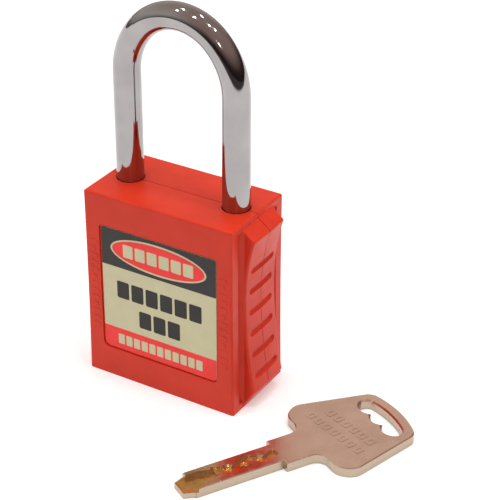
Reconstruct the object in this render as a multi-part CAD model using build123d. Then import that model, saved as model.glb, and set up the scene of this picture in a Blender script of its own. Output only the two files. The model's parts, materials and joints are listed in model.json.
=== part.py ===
"""Safety padlock with a laid-down key, built as separate pieces, in millimetres.

Frame: the origin is the centre of the padlock's flat base. +Z points up through the
shackle, +X to the right of somebody who faces the label, and the label faces -Y.
"""
from build123d import *
from math import cos, pi, radians, sin, sqrt, tan
import os

# ---------------------------------------------------------------- body shells
BODY_HEIGHT = 45.0
BODY_DEPTH = 20.5
CROWN_HALF = 18.5         # half width of the front and rear rims at the top
WAIST_HALF = 18.45        # half width of the rims where the body is narrowest
FOOT_HALF = 18.8          # half width of the rims at the base
WAIST_HEIGHT = 31.0
CORNER_RADIUS = 0.45
TOP_RADIUS = 0.5
FACE_WALL = 2.05
TOP_WALL = 2.4
BASE_WALL = 2.6
SEAM_WIDTH = 0.16
SEAM_DEPTH = 0.14

FLANK_HALF = 17.65        # half width of the sunk flank between the rims
FLANK_WALL = 0.9
FLANK_LOW = 1.6
FLANK_TOP = 43.3
RIM_ROOT = 7.15           # distance of the rims' sloped inner sides from the seam, at the flank
RIM_EDGE = 7.8            # the same at the rims' surface

PAD_HALF = 6.1            # half depth of the grip pad that stands on the flank
SKIRT_HALF = 7.1          # half depth of the pad's sloped skirt where it meets the flank
SKIRT_REACH = 19.0        # half width at which the skirt ends and the pad's own sides begin
PAD_TOP = 44.0
PAD_LIP = (21.6, 41.6)    # half width and height of the pad's upper lip
PAD_WAIST = (19.4, 27.0)
PAD_HIP = (21.6, 4.2)
PAD_CROWN_RADIUS = 80.0   # radius of the pad's bulge, seen from above
PAD_SWEEP = 14.0          # angle that the bulge is swept through before the pad is cut to width
PAD_EDGE_RADIUS = 0.45
LIP_RADIUS = 0.5

FLUTE_COUNT = 6           # horizontal finger grooves on each pad
FLUTE_PITCH = 5.15
FLUTE_FIRST = 7.8
FLUTE_RADIUS = 0.85
FLUTE_LENGTH = 9.2
FLUTE_DEPTH = 0.72

# --------------------------------------------------------------------- labels
LABEL_WIDTH = 29.0
LABEL_LOW = 7.35
LABEL_HIGH = 37.35
LABEL_THICKNESS = 0.18
LABEL_TOP_RADIUS = 0.4
LABEL_FOOT_RADIUS = 1.2
RECESS_DEPTH = 0.45
RECESS_MARGIN = 0.35

# -------------------------------------------------------------------- shackle
SHACKLE_RADIUS = 3.0
LEG_HALF = 13.3           # half the distance between the legs' centres
CLEARANCE = 36.4          # free height under the arch
ARCH_SIDE_RADIUS = 15.6   # centre line radius of the arch's two shoulders
ARCH_SIDE_ANGLE = 45.0    # turn of each shoulder before the crown
LONG_LEG_END = 10.4
SHORT_LEG_END = 34.3
LEG_CHAMFER = 0.7
LEG_HOLE_RADIUS = 3.15

NOTCH_DEPTH = 1.35
NOTCH_TOP = 41.35
NOTCH_SHELF = 40.05       # below this height the notch ramps out to the leg's surface
RAMP = 0.29               # sideways run of the ramp for each millimetre of height

RETAINING_RADIUS = 0.9
RETAINING_HALF = 4.2
RETAINING_HEIGHT = 11.8

# ----------------------------------------------------- lock cylinder and plug
LOCK_Y = -0.8             # the plug's axis stands a little towards the label
HOUSING_RADIUS = 6.9
HOUSING_TOP = 24.0
FACE_HEIGHT = 0.3         # the cylinder's face is sunk this far into the base
TOWER_HALF = 2.4
TOWER_BACK = 7.4
PLUG_RADIUS = 4.9
RUNNING_GAP = 0.05
HEAD_RADIUS = 5.5
HEAD_HEIGHT = 1.2
PLUG_TOP = 25.6
TAIL_SIDE = 3.4
TAIL_TOP = 33.4
KEYWAY_WIDTH = 6.55
KEYWAY_HEIGHT = 2.5
KEYWAY_TOP = 23.7
CLIP_LOW = 24.1
CLIP_THICKNESS = 0.6
CLIP_INNER = 4.22
CLIP_OUTER = 5.8
CLIP_GAP_HALF = 2.6

PIN_COUNT = 5
PIN_PITCH = 3.6
PIN_FIRST = 4.4
PIN_RADIUS = 1.2
PIN_BORE = 1.25
PIN_POINT = 0.9           # height of the cone at the pin's tip
PIN_TIP_RADIUS = 0.6
PIN_CUTS = [0.75, 0.95, 0.8, 1.0, 0.7]   # how far each pin reaches below the key's face
PIN_HEAD = 4.66
DRIVER_LOW = 4.98
DRIVER_HIGH = 6.4
PIN_SPRING_HIGH = 8.15
PIN_SPRING_RADIUS = 0.85
PIN_WIRE = 0.14
PIN_COVER_HALF = 1.9
PIN_COVER_THICKNESS = 0.6
PIN_COVER_INSET = 0.4     # the cover strip stops this far short of the tower's ends

# ------------------------------------------------- lock block, cam and latches
BLOCK_HALF_WIDTH = 16.6
BLOCK_HALF_DEPTH = 8.0
BLOCK_TOP = 42.4
BORE_RADIUS = 3.1
POCKET_RADIUS = 6.4
POCKET_TOP = 36.0
CAM_RADIUS = 6.2
CAM_LOW = 31.9
CAM_HIGH = 35.9
CAM_SLOT_FLOOR = 34.0
CAM_SOCKET_TOP = 33.6
PEG_RADIUS = 0.75
PEG_GAP = 0.1
PEG_END_GAP = 0.2         # the pegs stop this far above the floor of the cam's slots
PEG_START = 4.75          # distance of the latch pegs from the plug's axis when locked
LATCH_TRAVEL = 3.3
QUARTER_TURN = 90.0
SLEEVE_RADIUS = 6.35
SLEEVE_BORE = 2.6
SLEEVE_CUP_RADIUS = 6.05
SLEEVE_CUP_TOP = 25.8
SLEEVE_TOP = 31.8

LATCH_LOW = 36.1
LATCH_HIGH = 41.1
LATCH_HALF = 3.0
LATCH_INNER = 3.6
LATCH_TIP_GAP = 0.15
SLIDE_GAP = 0.05

COVER_HALF_WIDTH = 14.0
COVER_LOW = 29.8
COVER_HIGH = 41.9
COVER_THICKNESS = 0.8
COVER_PLUG_HALF = 9.75
COVER_SCREW_X = 11.5
COVER_SCREW_Z = 32.0
SCREW_RADIUS = 1.0
SCREW_HEAD_RADIUS = 1.7
SCREW_LENGTH = 4.3
SCREW_HEAD_HEIGHT = 0.68
SCREW_SLOT_WIDTH = 0.45
SCREW_SLOT_DEPTH = 0.35

# ------------------------------------------------- assembly pins and springs
BOSS_RADIUS = 1.45
DOWEL_RADIUS = 0.8
DOWEL_HALF = 7.5
BOSS_PLACES = [(-8.55, 6.0), (-8.55, 19.0), (11.0, 6.0), (11.0, 19.0)]
DRAIN_RADIUS = 1.0
SPRING_RADIUS = 2.3
SPRING_WIRE = 0.4
SPRING_TURNS = 6

# ------------------------------------------------------------------------ key
KEY_THICKNESS = 2.3
BLADE_WIDTH = 6.25
BLADE_LENGTH = 20.2
NOSE_LENGTH = 2.4         # thin blunt nose ahead of the full-thickness blade
NOSE_THICKNESS = 1.3
NOSE_ROOT_HALF = 2.9
NOSE_TIP_HALF = 2.0
COLLAR_WIDTH = 8.8
COLLAR_LENGTH = 8.2
NECK_RADIUS = 2.6
BOW_LENGTH = 22.05
BOW_NECK_HALF = 10.2      # corners of the bow before they are rounded
BOW_WIDE_HALF = 12.9
BOW_WIDE_AT = 3.0
BOW_END_HALF = 8.6
BOW_END_AT = 20.5
BOW_CORNER = 3.0
BOW_SHOULDER = 3.7        # corner radius next to the collar
KEY_BEVEL = 0.2
SLOT_CORNER = 1.3
SLOT_BEVEL = 0.35
SLOT_METAL = 2.4          # metal left between the ring slot and the bow's outer end
SCALLOP_RADIUS = 2.7
SCALLOP_PITCH = 4.5
SCALLOP_EDGE = 15.1       # distance of the scallops from the bow's start
TRACK_WIDTH = 2.2
TRACK_DEPTH = 0.55
TRACK_SWING = 0.8
TRACK_WAVES = 1.75
TRACK_START = 5.5
TRACK_END = 19.3
MOUTH_HIGH = 2.0          # where the milled mouth at the nose meets the full-height ridge
KEY_ORIGIN_X = 24.43      # place of the blade's full-thickness end
KEY_ORIGIN_Y = -36.4
KEY_ANGLE = 59.9          # direction from the nose to the bow

HALF_DEPTH = BODY_DEPTH / 2
CAVITY_HALF = FLANK_HALF - FLANK_WALL
FACE_Y = HALF_DEPTH - FACE_WALL
LEG_INNER = LEG_HALF - SHACKLE_RADIUS


# ----------------------------------------------------------- small solid tools
def block(x, y, z):
    """A box from three (low, high) pairs."""
    centre = Pos(sum(x) / 2, sum(y) / 2, sum(z) / 2)
    return centre * Box(x[1] - x[0], y[1] - y[0], z[1] - z[0])


def upright(x, y, z, radius):
    """A cylinder along Z between the two heights in z."""
    return Pos(x, y, sum(z) / 2) * Cylinder(radius, z[1] - z[0])


def crosswise(x, y, z, radius):
    """A cylinder along Y between the two values in y."""
    return Pos(x, sum(y) / 2, z) * Rot(90, 0, 0) * Cylinder(radius, y[1] - y[0])


def seen_from_front(face, y):
    """A face drawn in X and Z, swept through the two depths in y."""
    return extrude(Plane.XZ.offset(-y[0]) * face, amount=-(y[1] - y[0]))


def coil(radius, wire, length, turns):
    """A compression spring along Z that stands on Z = 0."""
    height = length - 2 * wire
    path = Helix(pitch=height / turns, height=height, radius=radius)
    section = Plane(origin=path @ 0, z_dir=path % 0) * Circle(wire)
    return Pos(0, 0, wire) * sweep(section, path=path, is_frenet=True)


# --------------------------------------------------------------------- shells
def body_outline(inset):
    """The body's outline from the front: two long shallow arcs under a flat top."""
    foot = (FOOT_HALF - inset, 0)
    waist = (WAIST_HALF - inset, WAIST_HEIGHT)
    crown = (CROWN_HALF - inset, BODY_HEIGHT)
    half = Curve() + [
        Line((0, 0), foot),
        ThreePointArc(foot, waist, crown),
        Line(crown, (0, BODY_HEIGHT)),
    ]
    return make_face(half + mirror(half, Plane.YZ))


def pad_surface(height):
    """Half width of the grip pad at a height, at its middle."""
    tip = PAD_LIP if height > PAD_WAIST[1] else PAD_HIP
    across = tip[0] - PAD_WAIST[0]
    along = tip[1] - PAD_WAIST[1]
    radius = (across ** 2 + along ** 2) / (2 * across)
    return PAD_WAIST[0] + radius - sqrt(radius ** 2 - (height - PAD_WAIST[1]) ** 2)


def pad_profile(inset):
    """The pad's outline from the front, from inside the flank to a depth below its surface."""
    root = FLANK_HALF - 1
    profile = make_face([
        TangentArc(PAD_WAIST, PAD_HIP, tangent=(0, -1)),
        TangentArc(PAD_WAIST, PAD_LIP, tangent=(0, 1)),
        Line(PAD_LIP, (CROWN_HALF, PAD_TOP)),
        Line((CROWN_HALF, PAD_TOP), (root, PAD_TOP)),
        Line((root, PAD_TOP), (root, 0)),
        Line((root, 0), (FOOT_HALF, 0)),
        Line((FOOT_HALF, 0), PAD_HIP),
    ])
    tips = [v for v in profile.vertices() if v.X > PAD_WAIST[0] + 0.1]
    profile = fillet(tips, LIP_RADIUS)
    return offset(profile, -inset) if inset else profile


def grip_pad():
    """The right grip pad: a waisted cushion whose lip and hip stand out past the rims."""
    axis = Axis((PAD_LIP[0] - PAD_CROWN_RADIUS, 0, 0), (0, 0, 1))
    cushion = revolve(Plane.XZ * pad_profile(0), axis, revolution_arc=PAD_SWEEP)
    cushion = cushion.rotate(axis, -PAD_SWEEP / 2)
    pad = cushion & block((0, 2 * CROWN_HALF), (-PAD_HALF, PAD_HALF), (0, BODY_HEIGHT))
    curved = [e for e in pad.edges() if e.geom_type != GeomType.LINE]
    rims = [e for e in curved if abs(e.center().Y) > PAD_HALF - 0.1 and e.center().X > FLANK_HALF]
    pad = fillet(rims, PAD_EDGE_RADIUS)
    return pad + (cushion & pad_skirt())


def pad_skirt():
    """Wedge-sided plinth under the pad, which narrows from the flank outwards."""
    slope = (SKIRT_HALF - PAD_HALF) / (SKIRT_REACH - FLANK_HALF)
    root = FLANK_HALF - 0.5
    half = Polyline((root, 0), (root, SKIRT_HALF + slope / 2), (SKIRT_REACH, PAD_HALF), (SKIRT_REACH, 0))
    return extrude(make_face(half + mirror(half, Plane.XZ)), amount=BODY_HEIGHT)


def flank_cutter():
    """What is cut from the right flank: a valley with sloped sides between the rims."""
    far = 2 * FLANK_HALF
    corners = [(FLANK_HALF, 0), (FLANK_HALF, RIM_ROOT), (CROWN_HALF, RIM_EDGE), (far, RIM_EDGE), (far, 0)]
    half = Polyline(corners)
    drawn = make_face(half + mirror(half, Plane.XZ))
    return Pos(0, 0, FLANK_LOW) * extrude(drawn, amount=FLANK_TOP - FLANK_LOW)


def flute(side, height):
    """One round-bottomed finger groove across a grip pad."""
    x = side * (pad_surface(height) - FLUTE_DEPTH + FLUTE_RADIUS)
    straight = FLUTE_LENGTH / 2 - FLUTE_RADIUS
    groove = crosswise(x, (-straight, straight), height, FLUTE_RADIUS)
    for end in (-straight, straight):
        groove += Pos(x, end, height) * Sphere(FLUTE_RADIUS)
    return groove


def label_outline(margin):
    """The label's outline from the front, grown by a margin."""
    width = LABEL_WIDTH + 2 * margin
    height = LABEL_HIGH - LABEL_LOW + 2 * margin
    drawn = Rectangle(width, height)
    drawn = fillet(drawn.vertices().group_by(Axis.Y)[-1], LABEL_TOP_RADIUS + margin)
    drawn = fillet(drawn.vertices().group_by(Axis.Y)[0], LABEL_FOOT_RADIUS + margin)
    return Pos(0, (LABEL_LOW + LABEL_HIGH) / 2) * drawn


def body_skin():
    """The outer shape of both shells together, before it is hollowed and parted."""
    skin = seen_from_front(body_outline(0), (-HALF_DEPTH, HALF_DEPTH))
    corners = [e for e in skin.edges() if abs(abs(e.center().Y) - HALF_DEPTH) < 0.01
               and abs(e.center().X) > WAIST_HALF - 1]
    skin = fillet(corners, CORNER_RADIUS)
    skin = fillet(skin.faces().sort_by(Axis.Z)[-1].edges(), TOP_RADIUS)
    pad = grip_pad()
    cutter = flank_cutter()
    skin = skin - cutter - mirror(cutter, Plane.YZ)
    skin = skin + pad + mirror(pad, Plane.YZ)
    flutes = [flute(side, FLUTE_FIRST + n * FLUTE_PITCH) for side in (-1, 1) for n in range(FLUTE_COUNT)]
    skin -= flutes
    for side in (-1, 1):
        wall = (side * HALF_DEPTH, side * (HALF_DEPTH - RECESS_DEPTH))
        skin -= seen_from_front(label_outline(RECESS_MARGIN), sorted(wall))
    return skin - seam_groove()


def seam_groove():
    """The hairline groove where the two shells meet, over the pads and the top."""
    half = SEAM_WIDTH / 2
    groove = seen_from_front(pad_profile(-1) - pad_profile(SEAM_DEPTH), (-half, half))
    groove += mirror(groove, Plane.YZ)
    across = block((-CROWN_HALF, CROWN_HALF), (-half, half), (BODY_HEIGHT - SEAM_DEPTH, BODY_HEIGHT + 1))
    return groove + across


def shell(side, skin):
    """One half shell: side -1 carries the front label, side +1 the rear one."""
    half = skin & block((-30, 30), sorted((0, side * HALF_DEPTH)), (0, BODY_HEIGHT))
    half -= block((-CAVITY_HALF, CAVITY_HALF), (-FACE_Y, FACE_Y), (BASE_WALL, BODY_HEIGHT - TOP_WALL))
    for x, z in BOSS_PLACES:
        half += crosswise(x, sorted((side * 0.1, side * FACE_Y)), z, BOSS_RADIUS)
        half -= crosswise(x, (-DOWEL_HALF, DOWEL_HALF), z, DOWEL_RADIUS)
    for x in (-LEG_HALF, LEG_HALF):
        half -= upright(x, 0, (BODY_HEIGHT - TOP_WALL - 1, BODY_HEIGHT + 1), LEG_HOLE_RADIUS)
    half -= upright(0, LOCK_Y, (-1, BASE_WALL + 1), HOUSING_RADIUS)
    half -= upright(-LEG_HALF, 0, (-1, BASE_WALL + 1), DRAIN_RADIUS)
    return half


def label(side):
    """The printed plate that lies in a shell's recess."""
    floor = HALF_DEPTH - RECESS_DEPTH
    wall = sorted((side * floor, side * (floor + LABEL_THICKNESS)))
    return seen_from_front(label_outline(0), wall)


def shell_dowels():
    """Hidden press-fit pins that hold the two shells together."""
    return Compound([crosswise(x, (-DOWEL_HALF, DOWEL_HALF), z, DOWEL_RADIUS) for x, z in BOSS_PLACES])


# -------------------------------------------------------------------- shackle
def arch_sizes():
    """Height where the arch starts, and the crown arc's radius and centre height."""
    turn = radians(ARCH_SIDE_ANGLE)
    shift = ARCH_SIDE_RADIUS - LEG_HALF
    crown_radius = ARCH_SIDE_RADIUS - shift / cos(turn)
    crown_centre = shift * tan(turn)
    top = BODY_HEIGHT + CLEARANCE + SHACKLE_RADIUS
    start = top - crown_centre - crown_radius
    return start, crown_radius, start + crown_centre


def notch_cutter(side):
    """Shelf and ramp on a leg's inner face, which the latch's nose fits."""
    bottom = NOTCH_SHELF - NOTCH_DEPTH / RAMP
    corners = [
        (LEG_INNER + NOTCH_DEPTH, NOTCH_TOP),
        (LEG_INNER + NOTCH_DEPTH, NOTCH_SHELF),
        (LEG_INNER, bottom),
        (LEG_INNER - 1, bottom),
        (LEG_INNER - 1, NOTCH_TOP),
    ]
    drawn = make_face(Polyline([(side * x, z) for x, z in corners], close=True))
    return seen_from_front(drawn, (-4, 4))


def shackle():
    """Round steel bow: a long leg on the left that stays in, a short leg on the right."""
    start, crown_radius, crown_z = arch_sizes()
    turn = radians(ARCH_SIDE_ANGLE)
    shoulder_x = LEG_HALF - ARCH_SIDE_RADIUS + ARCH_SIDE_RADIUS * cos(turn)
    shoulder_z = start + ARCH_SIDE_RADIUS * sin(turn)
    half_turn = turn / 2
    bend_x = LEG_HALF - ARCH_SIDE_RADIUS + ARCH_SIDE_RADIUS * cos(half_turn)
    bend_z = start + ARCH_SIDE_RADIUS * sin(half_turn)
    path = Curve() + [
        Line((-LEG_HALF, LONG_LEG_END), (-LEG_HALF, start)),
        ThreePointArc((-LEG_HALF, start), (-bend_x, bend_z), (-shoulder_x, shoulder_z)),
        ThreePointArc((-shoulder_x, shoulder_z), (0, crown_z + crown_radius), (shoulder_x, shoulder_z)),
        ThreePointArc((shoulder_x, shoulder_z), (bend_x, bend_z), (LEG_HALF, start)),
        Line((LEG_HALF, start), (LEG_HALF, SHORT_LEG_END)),
    ]
    rail = Plane.XZ * path
    section = Plane(origin=(-LEG_HALF, 0, LONG_LEG_END), z_dir=(0, 0, 1)) * Circle(SHACKLE_RADIUS)
    bow = sweep(section, path=rail)
    ends = [e for e in bow.edges().filter_by(GeomType.CIRCLE) if e.center().Z < SHORT_LEG_END + 0.1]
    bow = chamfer(ends, LEG_CHAMFER)
    for side in (-1, 1):
        bow -= notch_cutter(side)
    return bow - crosswise(-LEG_HALF, (-5, 5), RETAINING_HEIGHT, RETAINING_RADIUS)


def retaining_pin():
    """Cross pin in the long leg, which keeps the shackle in the block when it is open."""
    return crosswise(-LEG_HALF, (-RETAINING_HALF, RETAINING_HALF), RETAINING_HEIGHT, RETAINING_RADIUS)


def shackle_spring():
    """Compression spring that lifts the shackle when the latches let go."""
    spring = coil(SPRING_RADIUS, SPRING_WIRE, LONG_LEG_END - BASE_WALL, SPRING_TURNS)
    return Pos(-LEG_HALF, 0, BASE_WALL) * spring


# ------------------------------------------------------------------- cylinder
def pin_heights():
    return [PIN_FIRST + n * PIN_PITCH for n in range(PIN_COUNT)]


def from_plug(low, high):
    """Two distances behind the plug's axis, as values of Y."""
    return LOCK_Y + low, LOCK_Y + high


def cylinder_housing():
    """Brass housing: a round barrel with a tower for the pin chambers behind it."""
    housing = upright(0, LOCK_Y, (FACE_HEIGHT, HOUSING_TOP), HOUSING_RADIUS)
    housing += block((-TOWER_HALF, TOWER_HALF), (LOCK_Y, TOWER_BACK), (BASE_WALL, HOUSING_TOP))
    housing -= upright(0, LOCK_Y, (-1, HOUSING_TOP + 1), PLUG_RADIUS + RUNNING_GAP)
    housing -= upright(0, LOCK_Y, (-1, FACE_HEIGHT + HEAD_HEIGHT), HEAD_RADIUS + RUNNING_GAP)
    for z in pin_heights():
        housing -= crosswise(0, (LOCK_Y + PLUG_RADIUS - 1, TOWER_BACK + 1), z, PIN_BORE)
    return housing


def cylinder_plug():
    """Brass plug with its keyway, pin bores, clip groove and square tail."""
    plug = upright(0, LOCK_Y, (FACE_HEIGHT, PLUG_TOP), PLUG_RADIUS)
    plug += upright(0, LOCK_Y, (FACE_HEIGHT, FACE_HEIGHT + HEAD_HEIGHT - RUNNING_GAP), HEAD_RADIUS)
    half = TAIL_SIDE / 2
    plug += block((-half, half), from_plug(-half, half), (PLUG_TOP, TAIL_TOP))
    plug -= block((-KEYWAY_WIDTH / 2, KEYWAY_WIDTH / 2),
                  from_plug(-KEYWAY_HEIGHT / 2, KEYWAY_HEIGHT / 2), (-1, KEYWAY_TOP))
    groove = (CLIP_LOW - RUNNING_GAP, CLIP_LOW + CLIP_THICKNESS + RUNNING_GAP)
    plug -= upright(0, LOCK_Y, groove, PLUG_RADIUS + 1) - upright(0, LOCK_Y, groove, CLIP_INNER)
    for z in pin_heights():
        plug -= crosswise(0, from_plug(0, PLUG_RADIUS + 1), z, PIN_BORE)
    return plug


def plug_clip():
    """Open ring in the plug's groove that holds the plug in its housing."""
    span = (CLIP_LOW, CLIP_LOW + CLIP_THICKNESS)
    ring = upright(0, LOCK_Y, span, CLIP_OUTER) - upright(0, LOCK_Y, span, CLIP_INNER)
    return ring - block((-CLIP_GAP_HALF, CLIP_GAP_HALF), (LOCK_Y, LOCK_Y + 8), span)


def key_pins():
    """Pointed pins in the plug, as long as the right key's dimples make them."""
    pins = []
    for z, cut in zip(pin_heights(), PIN_CUTS):
        tip = KEY_THICKNESS / 2 - cut
        body = crosswise(0, from_plug(tip + PIN_POINT, PIN_HEAD), z, PIN_RADIUS)
        cone = Rot(90, 0, 0) * Cone(PIN_RADIUS, PIN_TIP_RADIUS, PIN_POINT)
        cone = Pos(0, LOCK_Y + tip + PIN_POINT / 2, z) * cone
        pins.append(body + cone)
    return Compound(pins)


def driver_pins():
    depth = from_plug(DRIVER_LOW, DRIVER_HIGH)
    return Compound([crosswise(0, depth, z, PIN_RADIUS) for z in pin_heights()])


def pin_springs():
    """Springs between the driver pins and the cover strip."""
    length = PIN_SPRING_HIGH - DRIVER_HIGH
    spring = coil(PIN_SPRING_RADIUS, PIN_WIRE, length, 3)
    springs = [Pos(0, LOCK_Y + DRIVER_HIGH, z) * Rot(-90, 0, 0) * spring for z in pin_heights()]
    return Compound(springs)


def pin_cover():
    """Strip that closes the pin chambers."""
    return block((-PIN_COVER_HALF, PIN_COVER_HALF), (TOWER_BACK, TOWER_BACK + PIN_COVER_THICKNESS),
                 (BASE_WALL + PIN_COVER_INSET, HOUSING_TOP - PIN_COVER_INSET))


# ------------------------------------------------------------ cam and latches
def spiral_slot(start_angle):
    """Slot whose distance from the axis falls steadily through a quarter turn."""
    def centre(turn):
        angle = radians(start_angle - turn)
        reach = PEG_START - LATCH_TRAVEL * turn / QUARTER_TURN
        return Vector(reach * cos(angle), reach * sin(angle))

    def edge_point(turn, side):
        along = (centre(turn + 0.5) - centre(turn - 0.5)).normalized()
        across = Vector(-along.Y, along.X)
        return centre(turn) + across * side * half_width

    half_width = PEG_RADIUS + PEG_GAP
    turns = [QUARTER_TURN * n / 8 for n in range(9)]
    outer = Spline([edge_point(turn, 1) for turn in turns])
    inner = Spline([edge_point(turn, -1) for turn in turns])
    band = make_face([outer, Line(outer @ 1, inner @ 1), inner, Line(inner @ 0, outer @ 0)])
    ends = [Pos(*centre(turn)) * Circle(half_width) for turn in (0, QUARTER_TURN)]
    drawn = band + ends[0] + ends[1]
    return Pos(0, LOCK_Y, CAM_SLOT_FLOOR) * extrude(drawn, amount=CAM_HIGH - CAM_SLOT_FLOOR + 1)


def tail_cam():
    """Steel disc on the plug's tail, with a spiral slot for each latch's peg."""
    cam = upright(0, LOCK_Y, (CAM_LOW, CAM_HIGH), CAM_RADIUS)
    half = TAIL_SIDE / 2
    cam -= block((-half, half), from_plug(-half, half), (CAM_LOW - 1, CAM_SOCKET_TOP))
    return cam - spiral_slot(0) - spiral_slot(180)


def cam_sleeve():
    """Spacer that carries the cam above the housing and clears the plug's clip."""
    sleeve = upright(0, LOCK_Y, (HOUSING_TOP, SLEEVE_TOP), SLEEVE_RADIUS)
    sleeve -= upright(0, LOCK_Y, (HOUSING_TOP - 1, SLEEVE_TOP + 1), SLEEVE_BORE)
    return sleeve - upright(0, LOCK_Y, (HOUSING_TOP - 1, SLEEVE_CUP_TOP), SLEEVE_CUP_RADIUS)


def latch(side):
    """Sliding latch: a wedge nose for the shackle's notch and a peg for the cam."""
    tip = LEG_INNER + NOTCH_DEPTH - LATCH_TIP_GAP
    corners = [
        (LATCH_INNER, LATCH_HIGH),
        (tip, LATCH_HIGH),
        (tip, NOTCH_SHELF),
        (tip - RAMP * (NOTCH_SHELF - LATCH_LOW), LATCH_LOW),
        (LATCH_INNER, LATCH_LOW),
    ]
    drawn = make_face(Polyline([(side * x, z) for x, z in corners], close=True))
    bolt = seen_from_front(drawn, from_plug(-LATCH_HALF, LATCH_HALF))
    return bolt + upright(side * PEG_START, LOCK_Y, (CAM_SLOT_FLOOR + PEG_END_GAP, LATCH_LOW), PEG_RADIUS)


def lock_block():
    """Die-cast block: leg bores, the cam's pocket and the channel for the latches."""
    lock = block((-BLOCK_HALF_WIDTH, BLOCK_HALF_WIDTH), (-BLOCK_HALF_DEPTH, BLOCK_HALF_DEPTH),
                 (HOUSING_TOP, BLOCK_TOP))
    lock -= upright(-LEG_HALF, 0, (HOUSING_TOP - 1, BLOCK_TOP + 1), BORE_RADIUS)
    lock -= upright(LEG_HALF, 0, (SHORT_LEG_END - 0.2, BLOCK_TOP + 1), BORE_RADIUS)
    lock -= upright(0, LOCK_Y, (HOUSING_TOP - 1, POCKET_TOP), POCKET_RADIUS)
    half = LATCH_HALF + SLIDE_GAP
    tall = (POCKET_TOP, LATCH_HIGH + 2 * SLIDE_GAP)
    lock -= block((-LEG_HALF + 1, LEG_HALF - 1), from_plug(-half, half), tall)
    lock -= block((-COVER_PLUG_HALF, COVER_PLUG_HALF), (-BLOCK_HALF_DEPTH - 1, LOCK_Y), tall)
    lock -= block((-COVER_HALF_WIDTH, COVER_HALF_WIDTH),
                  (-BLOCK_HALF_DEPTH - 1, -BLOCK_HALF_DEPTH + COVER_THICKNESS), (COVER_LOW, COVER_HIGH))
    for side in (-1, 1):
        lock -= crosswise(side * COVER_SCREW_X, (-BLOCK_HALF_DEPTH, -BLOCK_HALF_DEPTH + SCREW_LENGTH),
                          COVER_SCREW_Z, SCREW_RADIUS)
    return lock


def latch_cover():
    """Cover that fills the mouth of the latch channel, with a flange for two screws."""
    half = LATCH_HALF + SLIDE_GAP
    cover = block((-COVER_HALF_WIDTH, COVER_HALF_WIDTH),
                  (-BLOCK_HALF_DEPTH, -BLOCK_HALF_DEPTH + COVER_THICKNESS), (COVER_LOW, COVER_HIGH))
    cover += block((-COVER_PLUG_HALF, COVER_PLUG_HALF), (-BLOCK_HALF_DEPTH, LOCK_Y - half),
                   (POCKET_TOP, LATCH_HIGH + 2 * SLIDE_GAP))
    for side in (-1, 1):
        x = side * COVER_SCREW_X
        cover -= crosswise(x, (-BLOCK_HALF_DEPTH - 1, 0), COVER_SCREW_Z, SCREW_RADIUS)
        cover -= screw_head(x)
    return cover


def screw_head(x):
    """Countersunk head that tapers from the cover's face to the screw's shank."""
    head = Cone(SCREW_RADIUS, SCREW_HEAD_RADIUS, SCREW_HEAD_HEIGHT)
    return Pos(x, -BLOCK_HALF_DEPTH + SCREW_HEAD_HEIGHT / 2, COVER_SCREW_Z) * Rot(90, 0, 0) * head


def cover_screws():
    screws = []
    for side in (-1, 1):
        x = side * COVER_SCREW_X
        front = -BLOCK_HALF_DEPTH
        screw = crosswise(x, (front, front + SCREW_LENGTH), COVER_SCREW_Z, SCREW_RADIUS) + screw_head(x)
        drive = block((x - SCREW_HEAD_RADIUS, x + SCREW_HEAD_RADIUS), (front - 1, front + SCREW_SLOT_DEPTH),
                      (COVER_SCREW_Z - SCREW_SLOT_WIDTH / 2, COVER_SCREW_Z + SCREW_SLOT_WIDTH / 2))
        screws.append(screw - drive)
    return Compound(screws)


# ------------------------------------------------------------------------ key
def bow_outline(start, corner):
    """The key's four-sided bow with rounded shoulders and a bulged outer end."""
    wide = start + BOW_WIDE_AT
    end = start + BOW_END_AT
    far = start + BOW_LENGTH
    half = Curve() + [
        Line((start, 0), (start, BOW_NECK_HALF)),
        Line((start, BOW_NECK_HALF), (wide, BOW_WIDE_HALF)),
        Line((wide, BOW_WIDE_HALF), (end, BOW_END_HALF)),
    ]
    crown = ThreePointArc((end, BOW_END_HALF), (far, 0), (end, -BOW_END_HALF))
    drawn = make_face(half + mirror(half, Plane.XZ) + crown)
    shoulders = [v for v in drawn.vertices() if abs(v.Y) > BOW_END_HALF + 0.1]
    drawn = fillet(shoulders, BOW_SHOULDER)
    ends = [v for v in drawn.vertices() if v.X > end - 0.1]
    return fillet(ends, corner)


def ring_slot(start):
    """Slot for a key ring: it follows the bow's end outside and is scalloped inside."""
    centre = start + SCALLOP_EDGE + SCALLOP_RADIUS
    half = SCALLOP_PITCH + SCALLOP_RADIUS
    drawn = Pos(centre + SCALLOP_RADIUS, 0) * Rectangle(2 * SCALLOP_RADIUS, 2 * half)
    for row in (-1, 0, 1):
        drawn += Pos(centre, row * SCALLOP_PITCH) * Circle(SCALLOP_RADIUS)
    return drawn & offset(bow_outline(start, SLOT_METAL + SLOT_CORNER), -SLOT_METAL)


def wavy_track():
    """Milled track that weaves along the blade, from its round end to the nose's mouth."""
    def centre(s):
        along = TRACK_START + s * (TRACK_END - TRACK_START)
        return Vector(along, -TRACK_SWING * sin(2 * pi * TRACK_WAVES * (1 - s)))

    steps = [n / 16 for n in range(17)]
    upper = Spline([centre(s) + Vector(0, TRACK_WIDTH / 2) for s in steps])
    lower = Spline([centre(s) - Vector(0, TRACK_WIDTH / 2) for s in steps])
    band = make_face([upper, Line(upper @ 1, lower @ 1), lower, Line(lower @ 0, upper @ 0)])
    return band + Pos(*centre(1)) * Circle(TRACK_WIDTH / 2)


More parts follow.
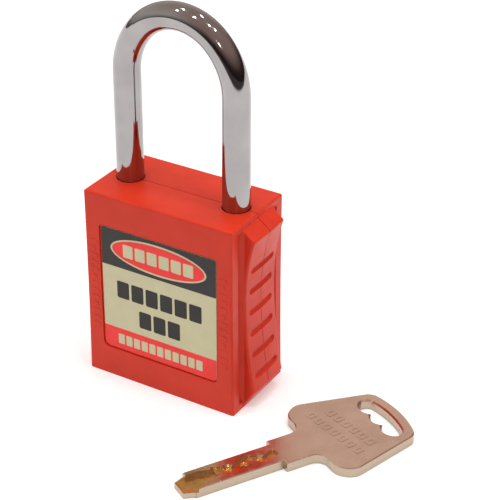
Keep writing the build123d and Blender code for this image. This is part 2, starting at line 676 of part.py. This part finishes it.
def nose_mouth():
    """The track's wide mouth, which cuts the blade's end down to the nose."""
    half = BLADE_WIDTH / 2 + 1
    inner = TRACK_START + 0.6
    corners = [
        (-NOSE_LENGTH - 1, MOUTH_HIGH), (2.6, MOUTH_HIGH), (inner, TRACK_WIDTH / 2),
        (inner, -TRACK_WIDTH / 2), (0.6, -BLADE_WIDTH / 2), (0.6, -half), (-NOSE_LENGTH - 1, -half)]
    return make_face(Polyline(corners, close=True))


def nose():
    """Thin blunt nose that points the blade into the keyway."""
    corners = [(1, NOSE_ROOT_HALF), (0, NOSE_ROOT_HALF), (-NOSE_LENGTH, NOSE_TIP_HALF)]
    corners += [(s, -t) for s, t in reversed(corners)]
    return extrude(make_face(Polyline(corners, close=True)), amount=NOSE_THICKNESS)


def dimples():
    """Conical dimples on the upper face, one below each pin when the blade is home."""
    slope = (PIN_RADIUS - PIN_TIP_RADIUS) / PIN_POINT
    drilled = []
    for z, cut in zip(pin_heights(), PIN_CUTS):
        along = BLADE_LENGTH + FACE_HEIGHT - z
        floor = PIN_TIP_RADIUS + RUNNING_GAP
        cone = Cone(floor, floor + slope * cut, cut)
        drilled.append(Pos(along, 0, KEY_THICKNESS - cut / 2) * cone)
    return drilled


def key():
    """Flat dimple key that lies beside the padlock, its nose towards the front."""
    blade = Pos(BLADE_LENGTH / 2, 0) * Rectangle(BLADE_LENGTH, BLADE_WIDTH)
    bow_start = BLADE_LENGTH + COLLAR_LENGTH
    collar = Pos((BLADE_LENGTH + bow_start) / 2 + 1, 0) * Rectangle(COLLAR_LENGTH + 2, COLLAR_WIDTH)
    bow = bow_outline(bow_start, BOW_CORNER)
    flat = blade + collar + bow
    neck = [v for v in flat.vertices()
            if abs(v.X - bow_start) < 0.01 and abs(abs(v.Y) - COLLAR_WIDTH / 2) < 0.01]
    flat = fillet(neck, NECK_RADIUS) - ring_slot(bow_start)
    body = extrude(flat, amount=KEY_THICKNESS)
    for face in (body.faces().sort_by(Axis.Z)[0], body.faces().sort_by(Axis.Z)[-1]):
        body = chamfer(face.outer_wire().edges(), KEY_BEVEL)
    for face in (body.faces().sort_by(Axis.Z)[0], body.faces().sort_by(Axis.Z)[-1]):
        body = chamfer(face.inner_wires()[0].edges(), SLOT_BEVEL)
    milled = extrude(wavy_track(), amount=TRACK_DEPTH)
    body -= milled
    body -= Pos(0, 0, KEY_THICKNESS - TRACK_DEPTH) * milled
    for drilled in dimples():
        body -= drilled
        body -= mirror(drilled, Plane.XY.offset(KEY_THICKNESS / 2))
    body -= Pos(0, 0, NOSE_THICKNESS) * extrude(nose_mouth(), amount=KEY_THICKNESS)
    body += nose()
    return Pos(KEY_ORIGIN_X, KEY_ORIGIN_Y, 0) * Rot(0, 0, KEY_ANGLE) * body


# ------------------------------------------------------------------- assembly
def all_parts():
    skin = body_skin()
    return {
        "front_shell": shell(-1, skin),
        "rear_shell": shell(1, skin),
        "front_label": label(-1),
        "rear_label": label(1),
        "shell_dowels": shell_dowels(),
        "shackle": shackle(),
        "retaining_pin": retaining_pin(),
        "shackle_spring": shackle_spring(),
        "lock_block": lock_block(),
        "latch_cover": latch_cover(),
        "cover_screws": cover_screws(),
        "latch_left": latch(-1),
        "latch_right": latch(1),
        "tail_cam": tail_cam(),
        "cam_sleeve": cam_sleeve(),
        "cylinder_housing": cylinder_housing(),
        "cylinder_plug": cylinder_plug(),
        "plug_clip": plug_clip(),
        "key_pins": key_pins(),
        "driver_pins": driver_pins(),
        "pin_springs": pin_springs(),
        "pin_cover": pin_cover(),
        "key": key(),
    }


os.makedirs("parts", exist_ok=True)
for name, solid in all_parts().items():
    export_step(solid, f"parts/{name}.step")
    print(name, round(solid.volume, 2))
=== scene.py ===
"""Looks of the safety padlock and its key, in metres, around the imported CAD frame.

Everything is placed from the frame's boxes. MM turns the millimetres that the small
details are given in into the scene's metres.
"""
import json
from math import cos, pi, radians, sin

import bmesh
import bpy
from mathutils import Matrix, Vector


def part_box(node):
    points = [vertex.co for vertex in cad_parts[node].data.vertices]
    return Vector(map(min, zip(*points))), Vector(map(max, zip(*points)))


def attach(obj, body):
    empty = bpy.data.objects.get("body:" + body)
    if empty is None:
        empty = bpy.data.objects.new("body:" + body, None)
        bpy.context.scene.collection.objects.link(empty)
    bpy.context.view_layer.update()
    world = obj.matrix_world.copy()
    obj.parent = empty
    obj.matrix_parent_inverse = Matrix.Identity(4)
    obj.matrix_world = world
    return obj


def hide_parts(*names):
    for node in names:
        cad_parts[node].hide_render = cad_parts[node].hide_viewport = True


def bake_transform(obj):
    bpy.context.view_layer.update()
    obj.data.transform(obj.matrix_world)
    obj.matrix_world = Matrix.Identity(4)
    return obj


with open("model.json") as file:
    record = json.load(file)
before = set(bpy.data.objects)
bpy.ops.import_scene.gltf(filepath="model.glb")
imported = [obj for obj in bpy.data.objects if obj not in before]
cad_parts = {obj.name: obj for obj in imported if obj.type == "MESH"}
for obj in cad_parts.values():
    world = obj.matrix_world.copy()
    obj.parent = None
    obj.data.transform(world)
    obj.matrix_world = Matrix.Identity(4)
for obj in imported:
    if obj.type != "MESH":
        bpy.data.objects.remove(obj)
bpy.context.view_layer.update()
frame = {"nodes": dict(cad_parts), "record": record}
nodes = frame["nodes"]

MM = 0.001

KEY_START = (24.43 * MM, -36.4 * MM)    # the full-thickness end of the key's blade
KEY_TURN = radians(59.9)                # direction from there to the bow
MILLED_HALF = 2.95 * MM                 # the blade's milled area: half width and end
MILLED_END = 20.6 * MM
MILLED_FADE = 0.05 * MM                 # how softly the bare brass ends

NEAR_SIDE = (0.64, -0.77, 0.0)          # from the padlock to the nearest edge of the paper
PAPER_EDGE = (0.30, 0.38)               # where the paper starts and ends to fade out
PAST_PAPER = (0.03, 0.02, 0.02)         # the dark beyond that edge


# ------------------------------------------------------------ material helpers
class Shader:
    """A Principled material with a few shorthands for procedural textures."""

    def __init__(self, name, **sockets):
        self.material = bpy.data.materials.new(name)
        self.material.use_nodes = True
        self.tree = self.material.node_tree
        self.surface = self.tree.nodes["Principled BSDF"]
        for label, value in sockets.items():
            self.surface.inputs[label.replace("_", " ")].default_value = value
        self.place = self.node("ShaderNodeTexCoord").outputs["Object"]

    def node(self, kind, **settings):
        node = self.tree.nodes.new(kind)
        for label, value in settings.items():
            setattr(node, label, value)
        return node

    def link(self, source, target):
        self.tree.links.new(source, target)

    def stretched(self, scale):
        """Object coordinates multiplied by a scale for each axis."""
        mapping = self.node("ShaderNodeMapping")
        mapping.inputs["Scale"].default_value = scale
        self.link(self.place, mapping.inputs["Vector"])
        return mapping.outputs["Vector"]

    def noise(self, size, detail=2, stretch=(1, 1, 1)):
        """Noise whose features are about size metres across."""
        node = self.node("ShaderNodeTexNoise")
        node.inputs["Scale"].default_value = 1.0 / size
        node.inputs["Detail"].default_value = detail
        self.link(self.stretched(stretch), node.inputs["Vector"])
        return node.outputs["Fac"]

    def spread(self, value, low, high, start=0.35, end=0.65):
        """Maps a value from start..end to low..high."""
        node = self.node("ShaderNodeMapRange")
        for label, number in (("From Min", start), ("From Max", end), ("To Min", low), ("To Max", high)):
            node.inputs[label].default_value = number
        self.link(value, node.inputs["Value"])
        return node.outputs["Result"]

    def blend(self, factor, first, second):
        """Mixes two colours, each a tuple or a socket."""
        node = self.node("ShaderNodeMix", data_type="RGBA")
        self.link(factor, node.inputs["Factor"])
        for label, colour in (("A", first), ("B", second)):
            socket = [s for s in node.inputs if s.name == label and s.type == "RGBA"][0]
            if isinstance(colour, tuple):
                socket.default_value = (*colour, 1)
            else:
                self.link(colour, socket)
        return [s for s in node.outputs if s.type == "RGBA"][0]

    def sum(self, first, second, share):
        """first plus share times second."""
        node = self.node("ShaderNodeMath", operation="MULTIPLY_ADD")
        self.link(second, node.inputs[0])
        node.inputs[1].default_value = share
        self.link(first, node.inputs[2])
        return node.outputs[0]

    def product(self, first, second):
        """first times second."""
        node = self.node("ShaderNodeMath", operation="MULTIPLY")
        self.link(first, node.inputs[0])
        self.link(second, node.inputs[1])
        return node.outputs[0]

    def size_of(self, value):
        """The value without its sign."""
        node = self.node("ShaderNodeMath", operation="ABSOLUTE")
        self.link(value, node.inputs[0])
        return node.outputs[0]

    def colour(self, socket):
        self.link(socket, self.surface.inputs["Base Color"])

    def roughness(self, socket):
        self.link(socket, self.surface.inputs["Roughness"])

    def bump(self, height, distance, strength):
        """Raises the surface by up to distance metres, in the look only."""
        node = self.node("ShaderNodeBump")
        node.inputs["Distance"].default_value = distance
        node.inputs["Strength"].default_value = strength
        self.link(height, node.inputs["Height"])
        self.link(node.outputs["Normal"], self.surface.inputs["Normal"])


def shell_plastic():
    """Glossy red moulded plastic with a faint spark-eroded grain."""
    s = Shader("shell_plastic", Specular_IOR_Level=0.22, IOR=1.5, Coat_Weight=0.05, Coat_Roughness=0.3)
    s.colour(s.blend(s.spread(s.noise(9 * MM), 0, 1), (0.590, 0.030, 0.009), (0.640, 0.035, 0.011)))
    s.roughness(s.spread(s.noise(3 * MM, detail=3), 0.34, 0.44))
    grain = s.sum(s.noise(0.16 * MM), s.noise(6 * MM, detail=1), share=4.0)
    s.bump(grain, distance=0.006 * MM, strength=0.4)
    return s.material


def chrome():
    """Bright plating with hairline polishing marks along the bar."""
    s = Shader("chrome", Metallic=1.0)
    s.colour(s.blend(s.spread(s.noise(7 * MM), 0, 1), (0.325, 0.325, 0.325), (0.37, 0.37, 0.37)))
    s.roughness(s.spread(s.noise(0.35 * MM, detail=3, stretch=(1, 1, 0.08)), 0.05, 0.10))
    s.bump(s.noise(0.2 * MM, stretch=(1, 1, 0.05)), distance=0.002 * MM, strength=0.3)
    return s.material


def plain_metal(name, dark, light, rough, grain):
    """Machined or cast metal: two tones, uneven gloss and a fine grain."""
    s = Shader(name, Metallic=1.0)
    s.colour(s.blend(s.spread(s.noise(2.5 * MM, detail=4), 0, 1), dark, light))
    s.roughness(s.spread(s.noise(0.8 * MM, detail=3), rough, rough + 0.14))
    s.bump(s.noise(grain, detail=3), distance=0.02 * MM, strength=0.4)
    return s.material


def key_nickel():
    """Nickel-plated brass: warm plating on the faces with painted shade on the sideways edges, bare
    brass where the blade is milled.
    """
    s = Shader("key_nickel", Metallic=1.0)
    low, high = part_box("key")
    plated = s.blend(s.spread(s.noise(5 * MM, detail=3), 0, 1), (0.70, 0.51, 0.40), (0.78, 0.58, 0.46))
    facing = s.node("ShaderNodeSeparateXYZ")
    s.link(s.node("ShaderNodeTexCoord").outputs["Normal"], facing.inputs[0])
    upward = s.size_of(facing.outputs["Z"])
    # painted shade: faces that turn sideways get a darker, greyer colour, standing in for the less light
    # that reaches the key's edges
    plated = s.blend(s.spread(upward, 1, 0, 0.2, 0.8), plated, (0.46, 0.38, 0.29))
    brass = s.blend(s.spread(s.noise(1.2 * MM, detail=3), 0, 1), (0.85, 0.50, 0.19), (0.98, 0.66, 0.29))
    in_key = s.node("ShaderNodeMapping", vector_type="TEXTURE")
    in_key.inputs["Location"].default_value = (*KEY_START, (low.z + high.z) / 2)
    in_key.inputs["Rotation"].default_value = (0, 0, KEY_TURN)
    s.link(s.place, in_key.inputs["Vector"])
    split = s.node("ShaderNodeSeparateXYZ")
    s.link(in_key.outputs["Vector"], split.inputs[0])
    skin = (high.z - low.z) / 2 - MILLED_FADE
    inside = s.spread(s.size_of(split.outputs["Z"]), 1, 0, skin - MILLED_FADE, skin)
    across = s.spread(s.size_of(split.outputs["Y"]), 1, 0, MILLED_HALF - MILLED_FADE, MILLED_HALF)
    along = s.spread(split.outputs["X"], 1, 0, MILLED_END - MILLED_FADE, MILLED_END)
    sloped = s.spread(upward, 0, 1, 0.1, 0.3)
    milled = s.product(s.product(inside, sloped), s.product(across, along))
    s.colour(s.blend(milled, plated, brass))
    s.roughness(s.spread(s.noise(2.5 * MM, detail=3), 0.20, 0.30))
    wear = s.sum(s.noise(0.5 * MM), s.noise(3 * MM), share=2.0)
    s.bump(wear, distance=0.008 * MM, strength=0.4)
    return s.material


def print_ink(name, first, second):
    """Printed plastic label face under a clear film."""
    s = Shader(name, Specular_IOR_Level=0.3, Coat_Weight=0.1, Coat_Roughness=0.15)
    s.colour(s.blend(s.spread(s.noise(3 * MM, detail=3), 0, 1), first, second))
    s.roughness(s.spread(s.noise(0.6 * MM), 0.32, 0.42))
    s.bump(s.noise(1.2 * MM), distance=0.01 * MM, strength=0.3)
    return s.material


def floor_paper():
    """White paper, a little overexposed, that ends in the dark on the photographer's side."""
    s = Shader("floor_paper", Roughness=0.85, Emission_Strength=0.30)
    across = s.node("ShaderNodeVectorMath", operation="DOT_PRODUCT")
    across.inputs[1].default_value = NEAR_SIDE
    s.link(s.place, across.inputs[0])
    beyond = s.spread(across.outputs["Value"], 0, 1, *PAPER_EDGE)
    tones = s.spread(s.noise(30 * MM, detail=3), 0, 1)
    paper = s.blend(tones, (0.715, 0.715, 0.715), (0.725, 0.725, 0.725))
    glow = s.blend(beyond, (1, 1, 1), PAST_PAPER)
    s.colour(s.blend(beyond, paper, PAST_PAPER))
    s.link(glow, s.surface.inputs["Emission Color"])
    return s.material


RED = shell_plastic()
CHROME = chrome()
STEEL = plain_metal("spring_steel", (0.36, 0.36, 0.37), (0.5, 0.5, 0.5), 0.25, 0.4 * MM)
ZINC = plain_metal("zinc_casting", (0.36, 0.37, 0.38), (0.48, 0.48, 0.49), 0.45, 0.6 * MM)
BRASS = plain_metal("machined_brass", (0.62, 0.42, 0.16), (0.78, 0.56, 0.25), 0.2, 0.3 * MM)
NICKEL = key_nickel()
CREAM = print_ink("label_cream", (0.555, 0.555, 0.345), (0.59, 0.59, 0.37))
INK = print_ink("label_ink", (0.010, 0.010, 0.008), (0.014, 0.014, 0.011))
DARK = print_ink("label_dark", (0.016, 0.016, 0.014), (0.021, 0.021, 0.019))
LABEL_RED = print_ink("label_red", (0.82, 0.026, 0.022), (0.88, 0.032, 0.028))

FINISHES = {
    "shell": RED,
    "chrome_steel": CHROME,
    "spring_steel": STEEL,
    "zinc": ZINC,
    "brass": BRASS,
    "nickel": NICKEL,
    "label": CREAM,
}


def dress_frame():
    """Gives every CAD node the material of its slot."""
    for part in frame["record"]["subparts"]:
        obj = nodes[part["node"]]
        obj.data.materials.clear()
        obj.data.materials.append(FINISHES[part["material_slot"]])


# ---------------------------------------------------------------- mesh helpers
FRONT = -1                 # which way a plate faces along Y
REAR = 1


def add_piece(name, mesh, material, body="padlock"):
    """Links a mesh as a piece that rides on a body, with the material it is given."""
    obj = bpy.data.objects.new(name, mesh)
    obj.data.materials.append(material)
    bpy.context.scene.collection.objects.link(obj)
    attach(obj, body)
    return obj


def rounded(x0, x1, z0, z1, low_radius, high_radius, steps=8):
    """Outline of a rectangle with one radius for its low corners and one for its high ones."""
    corners = [
        (x1 - low_radius, z0 + low_radius, low_radius, -90),
        (x1 - high_radius, z1 - high_radius, high_radius, 0),
        (x0 + high_radius, z1 - high_radius, high_radius, 90),
        (x0 + low_radius, z0 + low_radius, low_radius, 180),
    ]
    points = []
    for cx, cz, radius, start in corners:
        for n in range(steps + 1):
            angle = radians(start + 90 * n / steps)
            points.append((cx + radius * cos(angle), cz + radius * sin(angle)))
    return points


def oval(cx, cz, half_x, half_z):
    """Outline of an ellipse."""
    count = 72
    turns = [2 * pi * n / count for n in range(count)]
    return [(cx + half_x * cos(t), cz + half_z * sin(t)) for t in turns]


def join_loops(bm, loops):
    """Walls from each loop of vertices to the next."""
    for first, second in zip(loops, loops[1:]):
        for n in range(len(first)):
            m = (n + 1) % len(first)
            bm.faces.new((first[n], first[m], second[m], second[n]))


def plate(bm, outline, side, inner, outer, soft=0.0):
    """Adds a thin plate to bm: an outline in X and Z between two distances from the Y = 0 plane.

    side is FRONT or REAR, and outlines are drawn as seen from there. soft bevels the outer edge.
    """
    cx = sum(p[0] for p in outline) / len(outline)
    cz = sum(p[1] for p in outline) / len(outline)
    rings = [(inner, 0.0), (outer - soft, 0.0), (outer, soft)] if soft else [(inner, 0.0), (outer, 0.0)]
    loops = []
    for reach, shrink in rings:
        loop = []
        for x, z in outline:
            away = Vector((x - cx, z - cz))
            pull = 1 - shrink / away.length
            place_x = -side * (cx + away.x * pull)
            loop.append(bm.verts.new((place_x, side * reach, cz + away.y * pull)))
        loops.append(loop)
    join_loops(bm, loops)
    bm.faces.new(loops[-1])
    bm.faces.new(list(reversed(loops[0])))


def finish_mesh(bm, name):
    """Turns bm into a flat-shaded mesh whose faces point outwards."""
    bmesh.ops.recalc_face_normals(bm, faces=bm.faces)
    mesh = bpy.data.meshes.new(name)
    bm.to_mesh(mesh)
    bm.free()
    for polygon in mesh.polygons:
        polygon.use_smooth = False
    return mesh


# --------------------------------------------------------------------- labels
PRINT = 0.018 * MM         # each printed layer stands this far above the one below
low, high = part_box("front_label")
LABEL_X0, LABEL_X1 = low.x, high.x
LABEL_Z0, LABEL_Z1 = low.z, high.z
LABEL_BACK, LABEL_FACE = -high.y, -low.y
LABEL_TALL = LABEL_Z1 - LABEL_Z0
BAND_Z = LABEL_Z0 + 0.695 * LABEL_TALL
FOOT_Z = LABEL_Z0 + 0.178 * LABEL_TALL
LOW_CORNER = 1.2 * MM
HIGH_CORNER = 0.4 * MM
SHEET_SOFT = 0.04 * MM
PRINT_MARGIN = 0.05 * MM   # the print stops this far inside the sheet's outline
OVAL_HALF_X = 12.1 * MM
OVAL_HALF_Z = 3.75 * MM
OVAL_RIM = 0.42 * MM
BLOCK_ROUNDING = 0.12      # corner radius as a share of a block's shorter side

# Each row of blocks: height, block width and gap, and how many blocks it has.
OVAL_ROW = (3.1 * MM, 2.5 * MM, 0.55 * MM, 6)
UPPER_ROW = (4.2 * MM, 3.1 * MM, 0.6 * MM, 6)
LOWER_ROW = (4.2 * MM, 3.1 * MM, 0.6 * MM, 3)
FOOT_ROW = (2.5 * MM, 1.6 * MM, 0.42 * MM, 11)
UPPER_ROW_Z = LABEL_Z0 + 15.4 * MM
LOWER_ROW_Z = LABEL_Z0 + 9.3 * MM

RULE_COUNT = 4             # ruled lines of the rear label, from the lowest
RULE_FIRST = 3.5 * MM
RULE_PITCH = 5.2 * MM
RULE_INSET = 2.5 * MM
RULE_TALL = 0.3 * MM


def label_layer(name, outlines, material, side, layer):
    """Plates of one colour at one height of the print."""
    bm = bmesh.new()
    for outline in outlines:
        plate(bm, outline, side, LABEL_FACE + (layer - 1) * PRINT, LABEL_FACE + layer * PRINT)
    add_piece(name, finish_mesh(bm, name), material)


def blocks(centre_z, row):
    """A centred row of plain rounded blocks, which stands in for a line of print."""
    tall, width, gap, count = row
    start = (LABEL_X0 + LABEL_X1) / 2 - (width * count + gap * (count - 1)) / 2
    z0, z1 = centre_z - tall / 2, centre_z + tall / 2
    radius = min(width, tall) * BLOCK_ROUNDING
    lefts = [start + n * (width + gap) for n in range(count)]
    return [rounded(x, x + width, z0, z1, radius, radius, steps=4) for x in lefts]


def label_base(side, node):
    """The plastic sheet itself, with a softened edge."""
    bm = bmesh.new()
    outline = rounded(LABEL_X0, LABEL_X1, LABEL_Z0, LABEL_Z1, LOW_CORNER, HIGH_CORNER)
    plate(bm, outline, side, LABEL_BACK, LABEL_FACE, soft=SHEET_SOFT)
    base = add_piece(f"{node}_sheet", finish_mesh(bm, node), CREAM)
    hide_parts(node)


def label_band(x0, x1):
    """Outline of the dark band along the top of either label."""
    return rounded(x0, x1, BAND_Z, LABEL_Z1 - PRINT_MARGIN, 0, HIGH_CORNER)


def front_label():
    """Dark band with a red oval, cream field with two dark rows, and a red foot."""
    label_base(FRONT, "front_label")
    x0, x1 = LABEL_X0 + PRINT_MARGIN, LABEL_X1 - PRINT_MARGIN
    middle = (x0 + x1) / 2
    oval_z = (BAND_Z + LABEL_Z1) / 2
    foot_z = (LABEL_Z0 + FOOT_Z) / 2
    foot = rounded(x0, x1, LABEL_Z0 + PRINT_MARGIN, FOOT_Z, LOW_CORNER, 0)
    rim = oval(middle, oval_z, OVAL_HALF_X, OVAL_HALF_Z)
    field = oval(middle, oval_z, OVAL_HALF_X - OVAL_RIM, OVAL_HALF_Z - OVAL_RIM)
    rows = blocks(UPPER_ROW_Z, UPPER_ROW) + blocks(LOWER_ROW_Z, LOWER_ROW)
    label_layer("front_print_band", [label_band(x0, x1)], DARK, FRONT, 1)
    label_layer("front_print_foot", [foot], LABEL_RED, FRONT, 1)
    label_layer("front_print_oval_rim", [rim], CREAM, FRONT, 2)
    label_layer("front_print_oval", [field], LABEL_RED, FRONT, 3)
    label_layer("front_print_oval_row", blocks(oval_z, OVAL_ROW), CREAM, FRONT, 4)
    label_layer("front_print_rows", rows, INK, FRONT, 1)
    label_layer("front_print_foot_row", blocks(foot_z, FOOT_ROW), CREAM, FRONT, 2)


def rear_label():
    """Write-on label: a dark band and blank ruled lines."""
    label_base(REAR, "rear_label")
    x0, x1 = LABEL_X0 + PRINT_MARGIN, LABEL_X1 - PRINT_MARGIN
    left, right = x0 + RULE_INSET, x1 - RULE_INSET
    heights = [LABEL_Z0 + RULE_FIRST + RULE_PITCH * n for n in range(RULE_COUNT)]
    lines = [rounded(left, right, z, z + RULE_TALL, 0, 0, steps=1) for z in heights]
    label_layer("rear_print_band", [label_band(x0, x1)], DARK, REAR, 1)
    label_layer("rear_print_lines", lines, INK, REAR, 1)


# --------------------------------------------------------------------- spring
def stretching_spring():
    """A copy of the shackle's spring in its place, standing in for the CAD node."""
    coil = bpy.data.objects.new("shackle_spring_coil", nodes["shackle_spring"].data.copy())
    bpy.context.scene.collection.objects.link(coil)
    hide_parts("shackle_spring")
    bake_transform(coil)


# --------------------------------------------------------------------- relief
TICK_X = 16.35 * MM        # middle of each margin, from the padlock's centre line
TICK_COUNT = 13
TICK_FIRST = 12.0 * MM     # height of the middle of the lowest tick
TICK_PITCH = 1.75 * MM
TICK_TALL = 1.15 * MM
TICK_WIDE = 1.9 * MM
TICK_GROUP = 4             # the last tick of each group is half as wide
TICK_RADIUS = TICK_TALL / 4
TICK_PROUD = 0.10 * MM
TICK_SOFT = 0.06 * MM

RING_ROWS = ((38.2 * MM, 6), (34.3 * MM, 7))   # distance along the key, number of rings
RING_PITCH = 2.55 * MM
RING_OUTER = (0.85 * MM, 1.15 * MM, 0.4 * MM)  # half width, half height, corner radius
RING_INNER = (0.35 * MM, 0.65 * MM, 0.3 * MM)
RING_PROUD = 0.06 * MM
RING_SUNK = 0.03 * MM
RING_TILT = radians(8.5)   # how far the rows lean from square to the key


def margin_ticks():
    """A column of small raised bars on each margin of the front face."""
    face = -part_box("front_shell")[0].y
    for name, middle in (("left", -TICK_X), ("right", TICK_X)):
        bm = bmesh.new()
        for n in range(TICK_COUNT):
            last = n % TICK_GROUP == TICK_GROUP - 1
            half = TICK_WIDE / 4 if last else TICK_WIDE / 2
            x0, x1 = middle - half, middle + half
            z0 = TICK_FIRST + n * TICK_PITCH - TICK_TALL / 2
            outline = rounded(x0, x1, z0, z0 + TICK_TALL, TICK_RADIUS, TICK_RADIUS, steps=4)
            plate(bm, outline, FRONT, face - TICK_PROUD, face + TICK_PROUD, soft=TICK_SOFT)
        title = f"front_ticks_{name}"
        add_piece(title, finish_mesh(bm, title), RED)


def on_key(along, across):
    """Turns a place in the key's own plane into X and Y."""
    x = KEY_START[0] + along * cos(KEY_TURN) - across * sin(KEY_TURN)
    y = KEY_START[1] + along * sin(KEY_TURN) + across * cos(KEY_TURN)
    return x, y


def ring_outline(half_width, half_height, radius):
    """One edge of a ring, around its own middle."""
    return rounded(-half_width, half_width, -half_height, half_height, radius, radius, steps=4)


def add_ring(bm, along, across, face):
    """Adds one low ring to bm. Its row leans, and face is the height the ring stands on."""
    outline, hollow = ring_outline(*RING_OUTER), ring_outline(*RING_INNER)
    foot, top = face - RING_SUNK, face + RING_PROUD
    loops = []
    for ring, z in ((outline, foot), (outline, top), (hollow, top), (hollow, foot)):
        loop = []
        for t, s in ring:
            u = along + s * cos(RING_TILT) - (across + t) * sin(RING_TILT)
            v = (across + t) * cos(RING_TILT) + s * sin(RING_TILT)
            loop.append(bm.verts.new((*on_key(u, v), z)))
        loops.append(loop)
    join_loops(bm, loops + loops[:1])


def key_relief():
    """Two rows of low rings on the bow's face."""
    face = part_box("key")[1].z
    bm = bmesh.new()
    for along, count in RING_ROWS:
        for n in range(count):
            add_ring(bm, along, (n - (count - 1) / 2) * RING_PITCH, face)
    add_piece("key_relief", finish_mesh(bm, "key_relief"), NICKEL, body="key")


# ------------------------------------------------------------ camera and stage
DARK_SIDE = (0.97, -0.24, 0.0)          # the side of the room that is darkest
CEILING_LAMPS = [(-0.54, -0.40), (-0.35, 0.0), (-0.06, -0.36),   # x and y in ceiling heights
                 (0.06, 0.31), (0.36, -0.10), (0.54, 0.05)]
FAR_LAMPS = [(0.75, -1.20), (1.04, -1.46)]
CEILING_STRENGTH = 0.24
FAR_STRENGTH = 0.04
LAMP_ANGLE = 2.2                        # degrees across, seen from the padlock
LAMP_COLOUR = (0.95, 1.0, 1.02)
FILLS = [("fill_above", (0.0, -0.05, 1.0), 1.35, 40),   # name, direction, strength, angle
         ("fill_right", (0.67, 0.47, 0.57), 0.65, 60)]
FLOOR_SIZE = 6                          # metres along each side

# Colours of the surroundings, from level (0) to straight up (1).
BEHIND = [
    (0.0, (0.10, 0.08, 0.07)),
    (0.06, (0.42, 0.38, 0.36)),
    (0.30, (0.70, 0.64, 0.60)),
    (0.62, (0.64, 0.53, 0.48)),
    (1.0, (0.50, 0.34, 0.31)),
]
BEFORE = [
    (0.0, (0.02, 0.015, 0.02)),
    (0.15, (0.06, 0.035, 0.03)),
    (0.50, (0.42, 0.28, 0.25)),
    (1.0, (0.50, 0.34, 0.31)),
]
BEFORE_START = -0.55                    # how far a direction leans to DARK_SIDE where
BEFORE_FULL = 0.25                      # BEFORE starts to show, and where it is all there is

SENSOR_WIDTH = 36.0                     # millimetres of film, as Blender counts them
FOCAL_LENGTH = 121.0
CAMERA_PLACE = (0.17353, -0.26165, 0.21138)
CAMERA_YAW = radians(-30.95)
CAMERA_PITCH = radians(29.94)
CAMERA_ROLL = radians(-0.24)


def camera():
    """The viewpoint: above the front right, through a long lens."""
    lens = bpy.data.cameras.new("camera")
    lens.sensor_width = SENSOR_WIDTH
    lens.lens = FOCAL_LENGTH
    obj = bpy.data.objects.new("camera", lens)
    level = cos(CAMERA_PITCH)
    forward = Vector((sin(CAMERA_YAW) * level, cos(CAMERA_YAW) * level, -sin(CAMERA_PITCH)))
    aim = forward.to_track_quat("-Z", "Y").to_matrix().to_4x4()
    roll = Matrix.Rotation(-CAMERA_ROLL, 4, "Z")
    obj.matrix_world = Matrix.Translation(CAMERA_PLACE) @ aim @ roll
    bpy.context.scene.collection.objects.link(obj)
    bpy.context.scene.camera = obj


def lamp(name, direction, strength, angle, colour=(1, 1, 1)):
    """A distant soft lamp. strength is the light it gives a surface that faces it."""
    light = bpy.data.lights.new(name, "SUN")
    light.energy = strength
    light.angle = radians(angle)
    light.color = colour
    obj = bpy.data.objects.new(name, light)
    obj.rotation_euler = Vector(direction).to_track_quat("Z", "Y").to_euler()
    bpy.context.scene.collection.objects.link(obj)
    return obj


def room():
    """White surroundings behind, and a dark room with a brown ceiling to the front and right."""
    world = bpy.data.worlds.new("room")
    world.use_nodes = True
    tree = world.node_tree
    background = tree.nodes["Background"]
    direction = tree.nodes.new("ShaderNodeTexCoord").outputs["Generated"]
    split = tree.nodes.new("ShaderNodeSeparateXYZ")
    tree.links.new(direction, split.inputs[0])

    def height_ramp(stops):
        """The colour for the direction's height."""
        ramp = tree.nodes.new("ShaderNodeValToRGB")
        tree.links.new(split.outputs["Z"], ramp.inputs["Fac"])
        elements = ramp.color_ramp.elements
        for element, (height, colour) in zip(elements, (stops[0], stops[-1])):
            element.position = height
            element.color = (*colour, 1)
        for height, colour in stops[1:-1]:
            elements.new(height).color = (*colour, 1)
        return ramp.outputs["Color"]

    sideways = tree.nodes.new("ShaderNodeVectorMath")
    sideways.operation = "DOT_PRODUCT"
    sideways.inputs[1].default_value = DARK_SIDE
    share = tree.nodes.new("ShaderNodeMapRange")
    share.interpolation_type = "SMOOTHSTEP"
    share.inputs["From Min"].default_value = BEFORE_START
    share.inputs["From Max"].default_value = BEFORE_FULL
    mix = tree.nodes.new("ShaderNodeMix")
    mix.data_type = "RGBA"
    sockets = [socket for socket in mix.inputs if socket.type == "RGBA"]
    tree.links.new(direction, sideways.inputs[0])
    tree.links.new(sideways.outputs["Value"], share.inputs["Value"])
    tree.links.new(share.outputs["Result"], mix.inputs["Factor"])
    tree.links.new(height_ramp(BEHIND), sockets[0])
    tree.links.new(height_ramp(BEFORE), sockets[1])
    tree.links.new([s for s in mix.outputs if s.type == "RGBA"][0], background.inputs["Color"])
    bpy.context.scene.world = world


def stage():
    """The paper the padlock stands on, and the lamps."""
    bpy.ops.mesh.primitive_plane_add(size=FLOOR_SIZE, location=(0, 0, 0))
    floor = bpy.context.object
    floor.name = "floor"
    floor.data.materials.append(floor_paper())
    for n, (x, y) in enumerate(CEILING_LAMPS):
        lamp(f"ceiling_{n}", (x, y, 1.0), CEILING_STRENGTH, LAMP_ANGLE, LAMP_COLOUR)
    for n, (x, y) in enumerate(FAR_LAMPS):
        lamp(f"far_{n}", (x, y, 1.0), FAR_STRENGTH, LAMP_ANGLE, LAMP_COLOUR)
    for name, direction, strength, angle in FILLS:
        fill = lamp(name, direction, strength, angle)
        fill.visible_glossy = False   # it would show as a streak in the chrome


dress_frame()
front_label()
rear_label()
stretching_spring()
margin_ticks()
key_relief()
camera()
room()
stage()
bpy.context.scene.view_settings.view_transform = "Standard"
